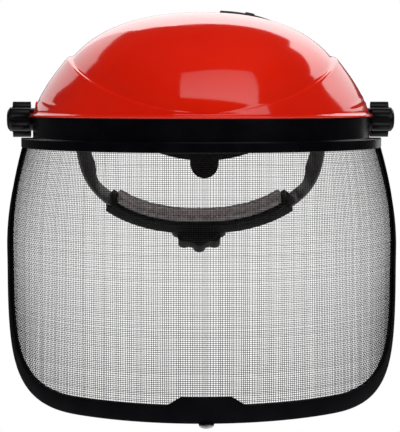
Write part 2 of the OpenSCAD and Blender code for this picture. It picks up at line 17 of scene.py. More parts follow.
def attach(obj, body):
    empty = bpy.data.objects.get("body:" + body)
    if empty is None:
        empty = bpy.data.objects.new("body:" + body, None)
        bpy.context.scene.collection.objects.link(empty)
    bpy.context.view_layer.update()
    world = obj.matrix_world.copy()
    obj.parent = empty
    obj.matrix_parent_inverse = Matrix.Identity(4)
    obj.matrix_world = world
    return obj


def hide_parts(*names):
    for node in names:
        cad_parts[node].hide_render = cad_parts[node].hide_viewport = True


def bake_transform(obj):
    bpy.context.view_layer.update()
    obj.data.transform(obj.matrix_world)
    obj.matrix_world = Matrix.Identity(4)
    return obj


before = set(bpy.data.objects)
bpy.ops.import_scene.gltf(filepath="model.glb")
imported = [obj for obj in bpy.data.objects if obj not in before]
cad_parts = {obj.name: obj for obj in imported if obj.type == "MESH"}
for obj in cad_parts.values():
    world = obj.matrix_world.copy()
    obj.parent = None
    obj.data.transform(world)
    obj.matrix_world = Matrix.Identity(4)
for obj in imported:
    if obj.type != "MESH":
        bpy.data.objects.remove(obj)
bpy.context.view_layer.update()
scene = bpy.context.scene
MM = 0.001

# ---------- driving dimensions, in millimetres and degrees ----------

# brow guard: crown, lip, the crease between crown and skirt, and the skirt's bulge over the ears
CROWN_HALF_W, LIP_HALF_W, GUARD_DEPTH = 102.5, 118, 147.5
CROWN_H, REAR_LEAN, GUARD_T, CROWN_POWER = 70.5, 35, 2.4, 2.3
LIP_Z, LIP_OUT, LIP_H = 2, 2.2, 1.8
CREASE_FRONT, CREASE_SIDE, CREASE_STEP, CREASE_SHELF = 5.5, 43.3, 3.5, 0.006
SKIRT_BULGE, BULGE_POWER = 2.4, 8
EAR_R, EAR_IN, EAR_OUT, EAR_BORE_R = 13, 112.3, 116.3, 5.52

# the short fold above each ear: its two ends, its level at FOLD_PHI, its drop per degree toward the front and
# its width, all three as shares of the skirt's height, and how far it stands out
FOLD_FRONT, FOLD_REAR, FOLD_PHI = 54, 87, 82
FOLD_LEVEL, FOLD_DROP, FOLD_W, FOLD_H = 0.3, 0.005, 0.035, 0.27

# screen and carrier
SCREEN_TOP_HALF_W, SCREEN_HALF_W, SCREEN_DEPTH, FLARE_H = 123.2, 136.4, 147, 70
SCREEN_TOP_Z, SCREEN_LOW_Z, CARRIER_LOW_Z, TIER_Z = -14.3, -185, -19, -12.5
CARRIER_PHI, SIDE_PHI, SIDE_SWING = 84, 84, 9
CORNER_TOP_Z, CORNER_PHI, CORNER_POWER = -105, 36, 0.84

# weave: warp wires stand up and weft wires lie across, a little unevenly; both thicken toward the chin, which
# darkens the lower screen as painted shade
WIRE_R, WIRE_GAP, WIRE_SHADE_GAIN, WIRE_SHADE_Z = 0.168, 0.01, 0.42, -95
WARP_PITCH, WARP_JITTER, WARP_DRIFT, WARP_HALF_COUNT = 1.44, 0.13, 0.15, 145
WEFT_PITCH, WEFT_JITTER, WEFT_DRIFT, WEFT_INSET = 1.24, 0.12, 0.07, 0.4
DRIFT_PERIODS = (5.7, 9.3, 14.1)

# trims round the screen
CHIN_TRIM_W, CHIN_TAB_W, SIDE_TRIM_W = 10, 15.5, 8.5
TRIM_WALL, TRIM_SLOT, TRIM_RIM = 1.7, 0.6, 1.2

# headband and nape
BAND_HALF_W, BAND_DEPTH, BAND_T = 85.3, 98, 1.8
NAPE_DROOP, NAPE_HALF_W, NAPE_DEPTH, NAPE_PAD_T = 50, 86, 94, 4
OVAL_POWER = 2.3

# pads: how far the cloth puffs out, the gap from the backing within which it is held, the depth and half
# widths of its channels, and the stitches along them, one every STITCH_TURN degrees
PUFF, HELD_GAP = 0.75, 0.7
CHANNEL_DEPTH, CHANNEL_ACROSS, CHANNEL_UP = 0.6, 1.4, 1.0
STITCH_L, STITCH_R, STITCH_TURN = 2.3, 0.24, 2.3


def sind(angle):
    return math.sin(math.radians(angle))


def cosd(angle):
    return math.cos(math.radians(angle))


def ramp(x):
    return max(0.0, min(1.0, x))


def smooth(x):
    x = ramp(x)
    return x * x * (3 - 2 * x)


def mix(a, b, t):
    return a + (b - a) * t


def bezier(a, corner, b, steps):
    """Points on the round that turns from a to b round a corner, both ends included."""
    return [mix(mix(a, corner, k / steps), mix(corner, b, k / steps), k / steps) for k in range(steps + 1)]


def arc_at(a, b, phi):
    """A point of an ellipse of half width a and depth b, from the front (phi 0) round to the sides."""
    return a * sind(phi), -b * cosd(phi)


# ---------- meshes and pieces ----------


def grid_faces(rows, columns, ring=False):
    """Quads over points stored column by column, closed from the last row to the first for a ring."""
    wrap = rows if ring else rows - 1
    return [
        (j * rows + i, (j + 1) * rows + i, (j + 1) * rows + (i + 1) % rows, j * rows + (i + 1) % rows)
        for j in range(columns - 1)
        for i in range(wrap)
    ]


def solid(name, points, faces):
    """An object of points in millimetres, with its faces turned outward."""
    mesh = bpy.data.meshes.new(name)
    mesh.from_pydata([Vector(p) * MM for p in points], [], faces)
    form = bmesh.new()
    form.from_mesh(mesh)
    bmesh.ops.remove_doubles(form, verts=form.verts, dist=1e-6)
    bmesh.ops.recalc_face_normals(form, faces=form.faces)
    form.to_mesh(mesh)
    form.free()
    piece = bpy.data.objects.new(name, mesh)
    scene.collection.objects.link(piece)
    return piece


def applied(piece):
    """Puts the result of the piece's modifiers into its mesh."""
    bpy.context.view_layer.update()
    shown = piece.evaluated_get(bpy.context.evaluated_depsgraph_get())
    mesh = bpy.data.meshes.new_from_object(shown)
    piece.modifiers.clear()
    piece.data = mesh
    return piece


def shade(piece, sharp_angle=40):
    """Smooth shading, with edges sharper than the angle left crisp."""
    piece.data.shade_smooth()
    piece.data.set_sharp_from_angle(angle=math.radians(sharp_angle))


def dress(piece, material, slot, body, *nodes):
    """Gives a piece its material, hides the CAD nodes it stands for and puts it on the body it rides on. Its
    slot is not used.
    """
    piece.data.materials.clear()
    piece.data.materials.append(material)
    if nodes:
        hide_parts(*nodes)
    if body:
        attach(piece, body)
    return piece


def swept(name, sections):
    """A solid through closed sections with equal numbers of points, with flat ends."""
    rows = len(sections[0])
    last = (len(sections) - 1) * rows
    faces = grid_faces(rows, len(sections), ring=True)
    faces += [tuple(range(rows)), tuple(last + i for i in range(rows))]
    return solid(name, [p for section in sections for p in section], faces)


def lathe(name, profile, sides, steps=96):
    """A solid turned about the X axis from (x, radius) pairs, mirrored for side -1."""
    points, faces = [], []
    for side in sides:
        base = len(points)
        for j in range(steps + 1):
            turn = 360 * j / steps
            points += [(side * x, r * sind(turn), r * cosd(turn)) for x, r in profile]
        faces += [tuple(base + k for k in face) for face in grid_faces(len(profile), steps + 1)]
    return solid(name, points, faces)


def rounded_corners(corners, radii, steps=4):
    """A closed outline whose corners are rounded; a radius of 0 keeps a corner."""
    outline = []
    for k, (corner, radius) in enumerate(zip(corners, radii, strict=True)):
        if radius == 0:
            outline.append(corner)
            continue
        legs = []
        for other in (corners[k - 1], corners[(k + 1) % len(corners)]):
            way = other - corner
            legs.append(corner + way * min(radius / way.length, 0.49))
        outline += bezier(legs[0], corner, legs[1], steps)
    return outline


# ---------- materials ----------


def node(material, kind, settings=None, **inputs):
    """Adds a shader node. An input is a value, or another node's output."""
    tree = material.node_tree
    made = tree.nodes.new(kind)
    for key, value in (settings or {}).items():
        setattr(made, key, value)
    for key, value in inputs.items():
        socket = made.inputs[key.replace("_", " ")]
        if isinstance(value, bpy.types.NodeSocket):
            tree.links.new(value, socket)
        else:
            socket.default_value = value
    return made


def start_material(name, **fixed):
    """A material with one Principled shader; fixed values go on the shader's own sockets."""
    material = bpy.data.materials.new(name)
    material.use_nodes = True
    shader = material.node_tree.nodes["Principled BSDF"]
    for key, value in fixed.items():
        shader.inputs[key.replace("_", " ")].default_value = value
    place = material.node_tree.nodes.new("ShaderNodeTexCoord").outputs["Object"]
    return material, shader, place


def mottle(material, place, scale, low, high, detail=3.0, stretch=None):
    """Noise turned into a value between low and high, or into a colour if they are colours."""
    if stretch:
        place = node(material, "ShaderNodeMapping", Vector=place, Scale=stretch).outputs["Vector"]
    grain = node(material, "ShaderNodeTexNoise", Vector=place, Scale=scale, Detail=detail)
    if isinstance(low, tuple):
        ramp_node = node(material, "ShaderNodeValToRGB", Fac=grain.outputs["Fac"])
        for element, at, colour in zip(ramp_node.color_ramp.elements, (0.35, 0.65), (low, high), strict=True):
            element.position = at
            element.color = (*colour, 1)
        return ramp_node.outputs["Color"]
    spread = node(material, "ShaderNodeMapRange", Value=grain.outputs["Fac"], From_Min=0.3, From_Max=0.7,
                  To_Min=low, To_Max=high)
    return spread.outputs["Result"]


def relief(material, shader, height, strength, distance):
    """A bump on the shader from a height in its nodes; distance is in millimetres."""
    bump = node(material, "ShaderNodeBump", Height=height, Strength=strength, Distance=distance * MM)
    material.node_tree.links.new(bump.outputs["Normal"], shader.inputs["Normal"])


def drive(material, shader, **sockets):
    for key, output in sockets.items():
        material.node_tree.links.new(output, shader.inputs[key.replace("_", " ")])


def worn(material, colour, bare, amount):
    """A colour that turns to another along worn edges."""
    edge = node(material, "ShaderNodeNewGeometry").outputs["Pointiness"]
    rub = node(material, "ShaderNodeMapRange", Value=edge, From_Min=0.52, From_Max=0.6,
               To_Min=0.0, To_Max=amount)
    blend = node(material, "ShaderNodeMix", {"data_type": "RGBA"})
    tree = material.node_tree
    tree.links.new(rub.outputs["Result"], blend.inputs["Factor"])
    tree.links.new(colour, blend.inputs[6])
    blend.inputs[7].default_value = (*bare, 1)
    return blend.outputs[2]


def moulded(name, dark, light, rough, grain_scale=900, grain=0.25, grain_mm=0.02, **fixed):
    """Moulded plastic: a mottled colour with rubbed edges, uneven gloss and a fine grain."""
    material, shader, place = start_material(name, **fixed)
    colour = mottle(material, place, 60, dark, light)
    bare = tuple(min(1, 1.8 * c + 0.01) for c in light)
    drive(material, shader, Base_Color=worn(material, colour, bare, 0.5),
          Roughness=mottle(material, place, 45, rough[0], rough[1], detail=6))
    relief(material, shader, mottle(material, place, grain_scale, 0.0, 1.0), grain, grain_mm)
    return material


def metal(name, dark, light, rough, stretch, scratch_mm=0.01):
    """Plated or brushed metal: stains in its colour and fine scratches along one direction."""
    material, shader, place = start_material(name, Metallic=1.0)
    drive(material, shader, Base_Color=mottle(material, place, 220, dark, light),
          Roughness=mottle(material, place, 400, rough[0], rough[1], stretch=stretch))
    relief(material, shader, mottle(material, place, 1500, 0.0, 1.0, stretch=stretch), 0.3, scratch_mm)
    return material


def guard_material():
    """Glossy red ABS, with a faint orange peel, hazy patches and a few fine hairlines."""
    material, shader, place = start_material("guard_red", Coat_Weight=0.2, Coat_Roughness=0.03)
    haze = mottle(material, place, 18, 0.05, 0.1, detail=5)
    hairs = mottle(material, place, 240, 0.0, 0.05, detail=8, stretch=(0.12, 1, 1.6))
    sum_node = node(material, "ShaderNodeMath", {"operation": "ADD"})
    material.node_tree.links.new(haze, sum_node.inputs[0])
    material.node_tree.links.new(hairs, sum_node.inputs[1])
    colour = mottle(material, place, 14, (0.84, 0.011, 0.0006), (0.92, 0.015, 0.001))
    drive(material, shader, Base_Color=worn(material, colour, (0.85, 0.12, 0.08), 0.35),
          Roughness=sum_node.outputs[0])
    relief(material, shader, mottle(material, place, 260, 0.0, 1.0, detail=2), 0.1, 0.012)
    return material


def fabric_material():
    """Knitted cloth over foam: a fine cross weave with uneven dye and a soft sheen."""
    material, shader, place = start_material("pad_foam", Sheen_Weight=0.35, Sheen_Roughness=0.5)
    waves = []
    for direction in ("X", "Z"):
        wave = node(material, "ShaderNodeTexWave", {"bands_direction": direction}, Vector=place, Scale=420.0,
                    Distortion=1.2, Detail=2.0)
        waves.append(wave.outputs["Fac"])
    weave = node(material, "ShaderNodeMath", {"operation": "MULTIPLY"})
    material.node_tree.links.new(waves[0], weave.inputs[0])
    material.node_tree.links.new(waves[1], weave.inputs[1])
    drive(material, shader, Base_Color=mottle(material, place, 260, (0.25, 0.245, 0.24), (0.44, 0.435, 0.43)),
          Roughness=mottle(material, place, 120, 0.75, 0.95))
    relief(material, shader, weave.outputs[0], 0.5, 0.15)
    return material


def wire_material(name, tone):
    """Coated steel wire. Its tone is the same along a wire, so wires differ and a wire doesn't."""
    colour = (tone, tone, tone * 1.02, 1)
    material, shader, place = start_material(name, Base_Color=colour, Specular_IOR_Level=0.05)
    drive(material, shader, Roughness=mottle(material, place, 500, 0.35, 0.5))
    return material


BLACK, SOOT = (0.0012, 0.0012, 0.002), (0.003, 0.003, 0.0045)
MATERIALS = {
    "guard_red": guard_material(),
    "carrier_black": moulded("carrier_black", BLACK, SOOT, (0.2, 0.3), grain=0.1, Specular_IOR_Level=0.14),
    "trim_black": moulded("trim_black", BLACK, SOOT, (0.42, 0.55), grain_scale=1400, Specular_IOR_Level=0.07),
    "band_black": moulded("band_black", BLACK, SOOT, (0.4, 0.55), grain=0.3, Specular_IOR_Level=0.15),
    "strap_black": moulded("strap_black", (0.018, 0.017, 0.017), (0.026, 0.025, 0.025), (0.4, 0.5)),
    "pivot_black": moulded("pivot_black", BLACK, SOOT, (0.35, 0.5), Specular_IOR_Level=0.25),
    "knob_black": moulded("knob_black", BLACK, SOOT, (0.26, 0.4), grain=0.4, grain_mm=0.03,
                          Specular_IOR_Level=0.2),
    "sleeve_black": moulded("sleeve_black", BLACK, SOOT, (0.4, 0.55), grain_mm=0.03,
                            Specular_IOR_Level=0.08),
    "washer_grey": moulded("washer_grey", (0.16, 0.16, 0.16), (0.22, 0.22, 0.21), (0.4, 0.55)),
    "pinion_acetal": moulded("pinion_acetal", (0.6, 0.58, 0.54), (0.7, 0.68, 0.64), (0.3, 0.4)),
    "stud_steel": metal("stud_steel", (0.28, 0.28, 0.28), (0.45, 0.45, 0.45), (0.28, 0.45), (1, 6, 1)),
    "bolt_steel": metal("bolt_steel", (0.42, 0.42, 0.43), (0.58, 0.58, 0.6), (0.22, 0.4), (6, 1, 1)),
    "insert_brass": metal("insert_brass", (0.55, 0.36, 0.11), (0.7, 0.49, 0.18), (0.25, 0.4), (1, 6, 6)),
    "pad_foam": fabric_material(),
    "thread": moulded("thread", (0.02, 0.02, 0.02), (0.05, 0.05, 0.05), (0.6, 0.8), grain_scale=2500),
}
WIRE_TONES = [wire_material("screen_mesh_" + word, tone)
              for word, tone in (("dark", 0.003), ("mid", 0.006), ("light", 0.012))]

# ---------- brow guard ----------


def crown_at(phi, rise, inset):
    """A point of the crown: rise runs from 0 at its base to 1 at the top."""
    bend = (1 - min(rise, 1) ** CROWN_POWER) ** (1 / CROWN_POWER)
    forward = bend * cosd(phi)
    return Vector(((CROWN_HALF_W - inset) * bend * sind(phi),
                   -(GUARD_DEPTH - inset) * forward - REAR_LEAN * rise * (1 - forward),
                   LIP_Z + (CROWN_H - inset) * rise))


def crease_rise(phi):
    return (CREASE_FRONT + (CREASE_SIDE - CREASE_FRONT) * sind(phi) ** 2 - LIP_Z) / CROWN_H


def crease_at(phi, inset):
    step = CREASE_STEP * abs(sind(phi)) ** 1.5
    return crown_at(phi, crease_rise(phi), inset) + Vector((step * sind(phi), -step * cosd(phi), 0))


def bulge_at(phi, t):
    """How far the skirt swells over the ears, t of the way up from the lip to the crease."""
    swell = SKIRT_BULGE * abs(sind(phi)) ** BULGE_POWER * sind(180 * t)
    return Vector((swell * sind(phi), -swell * cosd(phi), 0))


def fold_at(phi, t):
    """The short fold above each ear. It fades out over 6 degrees at its front end and 4 at its rear end."""
    turn = abs(phi)
    ends = smooth((turn - FOLD_FRONT) / 6) * smooth((FOLD_REAR - turn) / 4)
    level = FOLD_LEVEL - FOLD_DROP * (FOLD_PHI - turn)
    rise = FOLD_H * ends * math.exp(-(((t - level) / FOLD_W) ** 2))
    return Vector((rise * sind(phi), -rise * cosd(phi), 0))


def lip_at(phi, out, z):
    return Vector((*arc_at(LIP_HALF_W + out, GUARD_DEPTH + out, phi), z))


CROWN_ROWS, SKIRT_ROWS = 40, 44


def crown_rows(phi, inset):
    low = crease_rise(phi) + CREASE_SHELF
    turns = [90 * k / CROWN_ROWS for k in range(1, CROWN_ROWS + 1)]
    return [crown_at(phi, low + (1 - low) * sind(turn), inset) for turn in turns]


def outer_column(phi):
    """The outside of the guard at one angle: lip bead, skirt, rounded crease and crown.

    The rounds at the skirt's two ends take about 1 mm of it each."""
    bead = LIP_H / 2
    column = [lip_at(phi, LIP_OUT - bead + bead * cosd(a), LIP_Z + bead + bead * sind(a))
              for a in range(-90, 91, 30)]
    root, crease = lip_at(phi, 0, LIP_Z + LIP_H + 0.6), crease_at(phi, 0)
    shelf = crown_at(phi, crease_rise(phi) + CREASE_SHELF, 0)
    crown = crown_rows(phi, 0)
    share = min(0.3, 1.0 / (crease - root).length)
    column += bezier(column[-1], lip_at(phi, 0, LIP_Z + LIP_H), mix(root, crease, share), 4)[1:]
    for k in range(1, SKIRT_ROWS):
        t = mix(share, 1 - share, k / SKIRT_ROWS)
        column.append(mix(root, crease, t) + bulge_at(phi, t) + fold_at(phi, t))
    skirt_top = mix(root, crease, 1 - share) + bulge_at(phi, 1 - share)
    column += bezier(skirt_top, crease, mix(crease, shelf, 0.45), 4)
    column += bezier(mix(crease, shelf, 0.55), shelf, crown[0], 4)
    return column + crown[1:]


def inner_column(phi):
    """The inside of the guard, with as many points as the outside."""
    edge, crease, crown = lip_at(phi, -GUARD_T, LIP_Z), crease_at(phi, GUARD_T), crown_rows(phi, GUARD_T)
    plain = len(outer_column(phi)) - len(crown)
    return [mix(edge, crease, k / plain) + bulge_at(phi, k / plain) for k in range(plain + 1)] + crown[1:]


def rim_columns(outer, inner):
    """The rounded rear edge between the last outer column and the last inner one."""
    back = Vector((0, CROWN_H, REAR_LEAN)).normalized()
    columns = []
    for a in range(30, 151, 30):
        column = []
        for p, q in zip(outer, inner, strict=True):
            half = (p - q) / 2
            column.append((p + q) / 2 + half * cosd(a) + back * min(half.length, GUARD_T / 2) * sind(a))
        columns.append(column)
    return columns


def guard_shell(columns=220):
    """The guard without its ears: outside, rounded rear edges and inside as one closed band of columns."""
    angles = [-90 + 180 * j / columns for j in range(columns + 1)]
    outer = [outer_column(phi) for phi in angles]
    inner = [inner_column(phi) for phi in angles]
    right = rim_columns(outer[-1], inner[-1])
    left = rim_columns(inner[0], outer[0])
    around = outer + right + inner[::-1] + left
    rows, count = len(outer[0]), len(around)
    points = [p for column in around for p in column]
    faces = [(j * rows + i, (j + 1) % count * rows + i, (j + 1) % count * rows + i + 1, j * rows + i + 1)
             for j in range(count) for i in range(rows - 1)]
    far = 2 * columns + 1 + len(right)
    faces += [(j * rows, (far - j) * rows, (far - j - 1) * rows, (j + 1) * rows) for j in range(columns)]
    faces.append(tuple(k * rows for k in range(columns, columns + len(right) + 2)))
    faces.append(tuple(k % count * rows for k in range(far, far + len(left) + 2)))
    return solid("brow_guard_shell", points, faces)


def brow_guard():
    shell = guard_shell()
    soft = 0.7
    ears = lathe("ears", [(EAR_IN, 0), (EAR_IN, EAR_R - soft), (EAR_IN + soft, EAR_R),
                          (EAR_OUT - soft, EAR_R), (EAR_OUT - 0.2 * soft, EAR_R - 0.3 * soft),
                          (EAR_OUT, EAR_R - soft), (EAR_OUT, 0)], (-1, 1))
    seat = 8
    cuts = lathe("ear_cuts", [(EAR_IN - seat, 0), (EAR_IN - seat, EAR_R - 0.4), (EAR_IN, EAR_R - 0.4),
                              (EAR_IN, EAR_BORE_R), (EAR_OUT, EAR_BORE_R), (EAR_OUT, EAR_R + 0.6),
                              (EAR_OUT + seat, EAR_R + 0.6), (EAR_OUT + seat, 0)], (-1, 1))
    for tool, operation in ((ears, "UNION"), (cuts, "DIFFERENCE")):
        cut = shell.modifiers.new(operation.lower(), "BOOLEAN")
        cut.object, cut.operation, cut.solver = tool, operation, "MANIFOLD"
    applied(shell)
    for tool in (ears, cuts):
        bpy.data.objects.remove(tool)
    shade(shell, 35)
    return dress(shell, MATERIALS["guard_red"], "guard_red", "visor", "brow_guard")


# ---------- visor ----------


def screen_half_at(z):
    down = ramp((CARRIER_LOW_Z - z) / FLARE_H)
    return SCREEN_TOP_HALF_W + (SCREEN_HALF_W - SCREEN_TOP_HALF_W) * sind(90 * down)


def side_phi(z):
    """The angle of the screen's upright edge, down to where the corner begins."""
    return SIDE_PHI - SIDE_SWING * sind(90 * ramp((CARRIER_LOW_Z - z) / (CARRIER_LOW_Z - CORNER_TOP_Z)))


def edge_phi(z):
    """The angle of the screen's edge at a height."""
    if z >= CORNER_TOP_Z:
        return side_phi(z)
    turn = math.asin(ramp((CORNER_TOP_Z - z) / (CORNER_TOP_Z - SCREEN_LOW_Z)) ** (1 / CORNER_POWER))
    return CORNER_PHI + (side_phi(z) - CORNER_PHI) * math.cos(turn) ** CORNER_POWER


def screen_at(phi, z):
    return Vector((*arc_at(screen_half_at(z), SCREEN_DEPTH, phi), z))


def visor_carrier():
    """Two tiers in one moulding; each corner has its own half width, depth, height and rounding."""
    low, tier, ledge = CARRIER_LOW_Z, TIER_Z, TIER_Z - 1.4
    corners = [((113.4, 142.9, 4.2), 0.5), ((115.1, 144.6, 4.2), 0.5), ((115.1, 144.6, 1.8), 0),
               ((118, 148, 1.8), 0.6), ((118, 148, tier), 0.5), ((126.2, 150, tier), 0.7),
               ((126.2, 150, low), 0.8), ((124, 147.8, low), 0.5), ((124, 147.8, ledge), 0),
               ((113.4, 139.4, ledge), 0.4), ((113.4, 139.4, tier), 0.4), ((113.4, 142.9, tier), 0.6)]
    outline = rounded_corners([Vector(c) for c, _ in corners], [r for _, r in corners])
    steps = 170
    turns = [CARRIER_PHI * (2 * j / steps - 1) for j in range(steps + 1)]
    piece = swept("carrier", [[(*arc_at(a, b, phi), z) for a, b, z in outline] for phi in turns])
    shade(piece)
    return dress(piece, MATERIALS["carrier_black"], "carrier_black", "visor", "visor_carrier")


def wire_radius(heights):
    """The wires thicken from WIRE_SHADE_Z down to the chin, which darkens the lower screen as painted shade;
    the real wires keep one thickness.
    """
    down = np.clip((WIRE_SHADE_Z - heights) / (WIRE_SHADE_Z - SCREEN_LOW_Z), 0, 1)
    return WIRE_R * (1 + WIRE_SHADE_GAIN * down)


def tubes(name, runs, materials):
    """Many thin three-sided wires in one mesh.

    A run holds a wire's points, two directions across it and its material's number."""
    corner = [(cosd(a), sind(a)) for a in (0, 120, 240)]
    points, faces, tones, base = [], [], [], 0
    for path, across, along_face, tone in runs:
        count = len(path)
        radius = wire_radius(path[:, 2:])
        ring = np.stack([path + radius * (c * across + s * along_face) for c, s in corner], axis=1)
        points.append(ring.reshape(-1, 3))
        k = np.arange(count - 1)[:, None] * 3 + base
        for j in range(3):
            nxt = (j + 1) % 3
            faces.append(np.concatenate([k + j, k + 3 + j, k + 3 + nxt, k + nxt], axis=1))
        tones.append(np.full(3 * (count - 1), tone))
        base += 3 * count
    points, faces, tones = np.concatenate(points) * MM, np.concatenate(faces), np.concatenate(tones)
    mesh = bpy.data.meshes.new(name)
    mesh.vertices.add(len(points))
    mesh.vertices.foreach_set("co", points.astype(np.float32).ravel())
    mesh.loops.add(faces.size)
    mesh.loops.foreach_set("vertex_index", faces.astype(np.int32).ravel())
    mesh.polygons.add(len(faces))
    mesh.polygons.foreach_set("loop_start", np.arange(0, faces.size, 4, dtype=np.int32))
    mesh.update(calc_edges=True)
    for material in materials:
        mesh.materials.append(material)
    mesh.polygons.foreach_set("material_index", tones.astype(np.int32))
    mesh.shade_smooth()
    piece = bpy.data.objects.new(name, mesh)
    scene.collection.objects.link(piece)
    return piece


def arc_table(z):
    """Angles round the screen at a height, and how far along the cloth each lies from the middle."""
    turns = np.linspace(0, 90, 721)
    a, b = screen_half_at(z), SCREEN_DEPTH
    x, y = a * np.sin(np.radians(turns)), -b * np.cos(np.radians(turns))
    return turns, np.concatenate([[0], np.cumsum(np.hypot(np.diff(x), np.diff(y)))])


def screen_points(phis, z, out):
    """Points on the cloth at one height, moved out of its middle surface, and the way out at each."""
    a, b = screen_half_at(z), SCREEN_DEPTH
    s, c = np.sin(np.radians(phis)), np.cos(np.radians(phis))
    face = np.stack([s / a, -c / b, np.zeros_like(s)], axis=1)
    face /= np.linalg.norm(face, axis=1, keepdims=True)
    middle = np.stack([a * s, -b * c, np.full_like(s, z)], axis=1)
    return middle + face * out[:, None], face


def drift(draw, count, reach):
    """Slow waves in the spacing of the wires, which show as lighter and darker streaks in the cloth."""
    turns = 2 * np.pi * np.arange(count)
    return reach * sum(np.sin(turns / period + draw.uniform(0, 6)) for period in DRIFT_PERIODS)


def wire_places(draw):
    """How far along the cloth each warp wire stands, how high each weft wire lies, and the tone of each."""
    warp_s = np.array([WARP_PITCH * i + draw.uniform(-WARP_JITTER, WARP_JITTER)
                       for i in range(-WARP_HALF_COUNT, WARP_HALF_COUNT + 1)])
    weft_count = int((SCREEN_TOP_Z - SCREEN_LOW_Z) / WEFT_PITCH)
    weft_z = np.array([SCREEN_TOP_Z - WEFT_INSET - WEFT_PITCH * k + draw.uniform(-WEFT_JITTER, WEFT_JITTER)
                       for k in range(weft_count)])
    warp_tone = [draw.choice((0, 0, 1, 1, 1, 2)) for _ in warp_s]
    weft_tone = [draw.choice((0, 1, 1, 2)) for _ in weft_z]
    warp_s += drift(draw, len(warp_s), WARP_DRIFT) * (1 - (warp_s / warp_s[-1]) ** 2)
    weft_z -= drift(draw, weft_count, WEFT_DRIFT)
    return warp_s, weft_z, warp_tone, weft_tone


def woven_screen():
    """The cloth wire by wire: each crosses over and under the next, and is cut off inside the trim."""
    warp_s, weft_z, warp_tone, weft_tone = wire_places(random.Random(7))
    swing = WIRE_R + WIRE_GAP
    index = np.arange(len(warp_s))
    up = np.array([0.0, 0.0, 1.0])
    warp_paths = [[] for _ in warp_s]
    weft_runs = []
    for k, z in enumerate(weft_z):
        turns, lengths = arc_table(z)
        phis = np.sign(warp_s) * np.interp(np.abs(warp_s), lengths, turns)
        inside = np.abs(phis) <= edge_phi(z)
        over = np.where((index + k) % 2 == 0, swing, -swing)
        points, faces = screen_points(phis, z, over)
        for i in np.nonzero(inside)[0]:
            warp_paths[i].append((points[i], faces[i]))
        points, faces = screen_points(phis[inside], z, -over[inside])
        weft_runs.append((points, faces, np.broadcast_to(up, faces.shape), weft_tone[k]))
    warp_runs = []
    for path, tone in zip(warp_paths, warp_tone, strict=True):
        if len(path) > 2:
            points, faces = (np.array(part) for part in zip(*path, strict=True))
            warp_runs.append((points, faces, np.cross(up, faces), tone))
    middle, deep = len(warp_runs) // 2, len(weft_runs) // 2
    parts = (("screen_warp_left", warp_runs[:middle]), ("screen_warp_right", warp_runs[middle:]),
             ("screen_weft_upper", weft_runs[:deep]), ("screen_weft_lower", weft_runs[deep:]))
    for name, runs in parts:
        piece = tubes(name, runs, WIRE_TONES)
        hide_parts("mesh_screen")
        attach(piece, "visor")


SIDE_STEPS, CORNER_STEPS, CHIN_STEPS = 44, 48, 60


def side_path():
    """Angle and height along the right edge, from under the carrier down to the corner."""
    top = CARRIER_LOW_Z - 0.3
    heights = [mix(top, CORNER_TOP_Z, i / SIDE_STEPS) for i in range(SIDE_STEPS + 1)]
    return [(side_phi(z), z) for z in heights]


def corner_path():
    """Angle and height round the lower corner, from the side edge to the chin edge."""
    path = []
    for i in range(1, CORNER_STEPS + 1):
        turn = 90 * i / CORNER_STEPS
        z = mix(CORNER_TOP_Z, SCREEN_LOW_Z, sind(turn) ** CORNER_POWER)
        path.append((CORNER_PHI + (side_phi(z) - CORNER_PHI) * max(0, cosd(turn)) ** CORNER_POWER, z))
    return path


def edge_channel(name, path, widths):
    """A rounded channel over the screen's edge. Its upper end is cut level, to fit under the carrier."""
    corners = [(1, TRIM_WALL), (0, TRIM_WALL), (0, TRIM_SLOT), (-1, TRIM_SLOT), (-1, -TRIM_SLOT),
               (0, -TRIM_SLOT), (0, -TRIM_WALL), (1, -TRIM_WALL)]
    radii = [1.1, 0.8, 0, 0, 0, 0, 0.8, 1.1]
    spots = [screen_at(phi, z) for phi, z in path]
    sections = []
    for k, (phi, z) in enumerate(path):
        face = Vector((sind(phi) / screen_half_at(z), -cosd(phi) / SCREEN_DEPTH, 0)).normalized()
        run = Vector((0, 0, -1))
        if z < CARRIER_LOW_Z - 1:
            run = (spots[min(k + 1, len(spots) - 1)] - spots[max(k - 1, 0)]).normalized()
        outward = face.cross(run).normalized()
        reach = {1: TRIM_RIM, 0: -widths[k], -1: 0.2}
        outline = rounded_corners([Vector((reach[c], wall)) for c, wall in corners], radii)
        sections.append([spots[k] + outward * p[0] + face * p[1] for p in outline])
    piece = swept(name, sections)
    shade(piece)
    return piece


def trims():
    half = CORNER_STEPS // 2
    corner = corner_path()
    side = side_path() + corner[:half]
    for sign, word in ((-1, "left"), (1, "right")):
        piece = edge_channel("edge_trim_" + word, side, [SIDE_TRIM_W] * len(side))
        if sign < 0:
            piece.data.transform(Matrix.Scale(-1, 4, (1, 0, 0)))
            piece.data.flip_normals()
        dress(piece, MATERIALS["trim_black"], "trim_black", "visor", "side_trim_" + word)
    lower = [(corner[half - 1][0], corner[half - 1][1] - 0.2)] + corner[half:]
    chin = [(CORNER_PHI * (1 - i / CHIN_STEPS), SCREEN_LOW_Z) for i in range(1, 2 * CHIN_STEPS)]
    path = lower + chin + [(-phi, z) for phi, z in reversed(lower)]
    tab_phi, tab_ramp, corner_h = 8.4, 5, 25
    widths = []
    for phi, z in path:
        tab = smooth((tab_phi - abs(phi)) / tab_ramp + 0.5)
        turn = ramp((z - SCREEN_LOW_Z) / corner_h)
        widths.append(CHIN_TRIM_W + (CHIN_TAB_W - CHIN_TRIM_W) * tab + (SIDE_TRIM_W - CHIN_TRIM_W) * turn)
    piece = edge_channel("chin_edge_trim", path, widths)
    dress(piece, MATERIALS["trim_black"], "trim_black", "visor", "chin_trim")


# ---------- hard pieces refined from the CAD solids ----------


